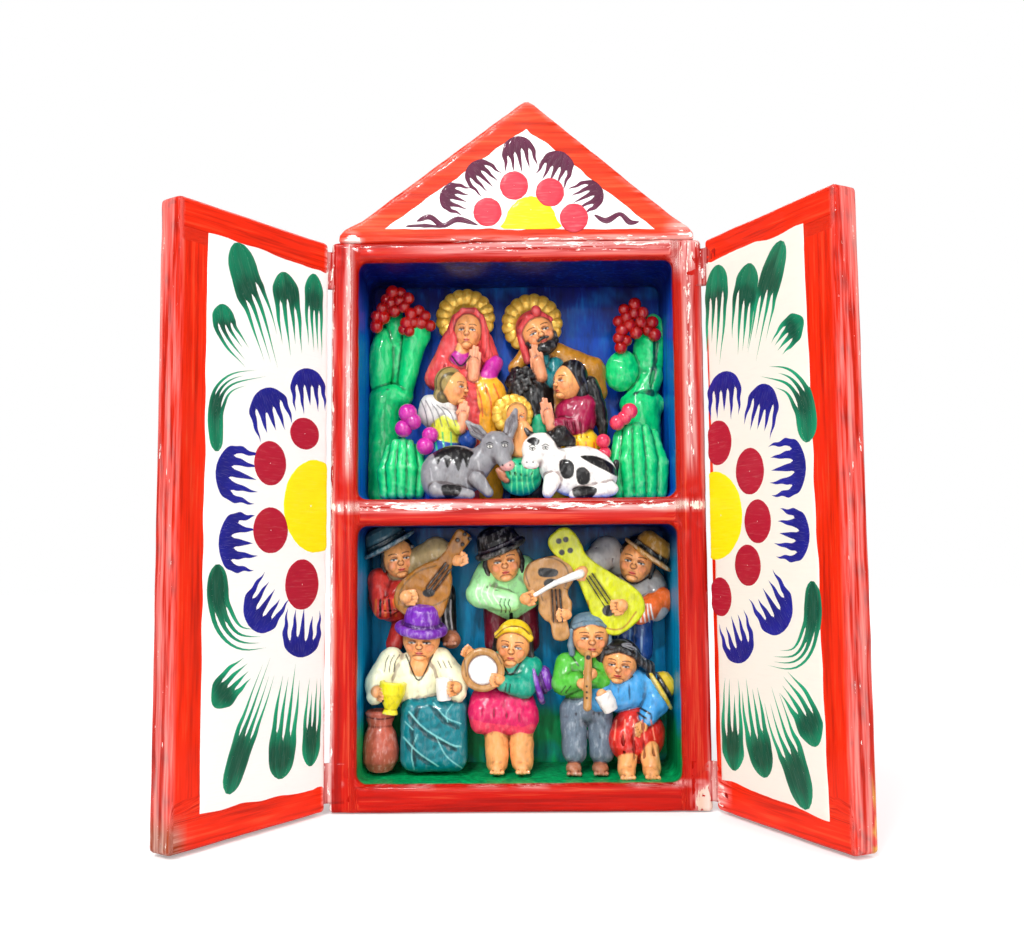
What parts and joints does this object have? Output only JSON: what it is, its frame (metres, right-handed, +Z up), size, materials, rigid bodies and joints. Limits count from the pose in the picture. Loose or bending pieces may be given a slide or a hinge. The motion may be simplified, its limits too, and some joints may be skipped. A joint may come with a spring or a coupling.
{
  "type": "two-story retablo",
  "caption": "Painted wooden retablo box with gable, two hinged doors and paste figures: a manger scene above, musicians and seated drinkers below",
  "frame": {"origin": "On the floor under the middle of the case's underside, halfway between its front and its back", "axes": "+X to the viewer's right, +Y from the open front to the back panel, +Z up"},
  "size_m": [0.13, 0.0628, 0.1532],
  "materials": {
    "red_painted_wood": "glossy brushed enamel over gesso, worn to white at the edges",
    "blue_painted_wood": "satin brushed enamel",
    "strap_leather": "painted over",
    "figure_paste": "glossy painted paste",
    "animal_paste": "glossy painted paste",
    "cactus_paste": "glossy painted paste",
    "fruit_paste": "glossy painted paste",
    "gold_paste": "metallic gold paint",
    "instrument_paste": "glossy painted paste",
    "hat_paste": "glossy painted paste",
    "vessel_paste": "glossy painted paste"
  },
  "bodies": {
    "case": {"left_side_board": "red_painted_wood", "right_side_board": "red_painted_wood", "bottom_board": "red_painted_wood", "shelf_board": "red_painted_wood", "header_board": "red_painted_wood", "back_panel": "blue_painted_wood", "gable_board": "red_painted_wood", "clay_pot": "vessel_paste", "cup_woman": "figure_paste", "cup_woman_cup": "vessel_paste", "cup_woman_hat": "hat_paste", "donkey": "animal_paste", "drum": "instrument_paste", "drum_woman": "figure_paste", "drum_woman_hat": "hat_paste", "father_figure": "figure_paste", "father_halo": "gold_paste", "fiddle": "instrument_paste", "fiddle_bow": "instrument_paste", "fiddler": "figure_paste", "fiddler_hat": "hat_paste", "flute": "instrument_paste", "flute_player": "figure_paste", "infant_figure": "figure_paste", "infant_halo": "gold_paste", "jug": "vessel_paste", "kneeling_man": "figure_paste", "kneeling_woman": "figure_paste", "left_guitar": "instrument_paste", "left_lower_strap": "strap_leather", "left_strummer": "figure_paste", "left_strummer_hat": "hat_paste", "left_upper_strap": "strap_leather", "mother_figure": "figure_paste", "mother_halo": "gold_paste", "ox": "animal_paste", "right_lower_strap": "strap_leather", "right_strummer": "figure_paste", "right_strummer_hat": "hat_paste", "right_upper_strap": "strap_leather", "seated_woman": "figure_paste", "seated_woman_cup": "vessel_paste", "seated_woman_hat": "hat_paste", "small_cactus_left": "cactus_paste", "small_cactus_left_fruit": "fruit_paste", "small_cactus_left_side_fruit": "fruit_paste", "small_cactus_right": "cactus_paste", "small_cactus_right_fruit": "fruit_paste", "small_cactus_right_side_fruit": "fruit_paste", "tall_cactus_left": "cactus_paste", "tall_cactus_left_fruit": "fruit_paste", "tall_cactus_left_side_fruit": "fruit_paste", "tall_cactus_right": "cactus_paste", "tall_cactus_right_fruit": "fruit_paste", "yellow_guitar": "instrument_paste"},
    "left_door": {"left_door_panel": "red_painted_wood"},
    "right_door": {"right_door_panel": "red_painted_wood"}
  },
  "joints": [
    {"name": "left_door_swing", "type": "hinge", "parent": "case", "child": "left_door", "pos_m": [-0.04, -0.014, 0], "axis": [0, 0, 1], "range_deg": [-56.1, 123.9], "deforming": ["left_lower_strap", "left_upper_strap"]},
    {"name": "right_door_swing", "type": "hinge", "parent": "case", "child": "right_door", "pos_m": [0.04, -0.014, 0], "axis": [0, 0, 1], "range_deg": [-116.9, 63.1], "deforming": ["right_lower_strap", "right_upper_strap"]}
  ]
}
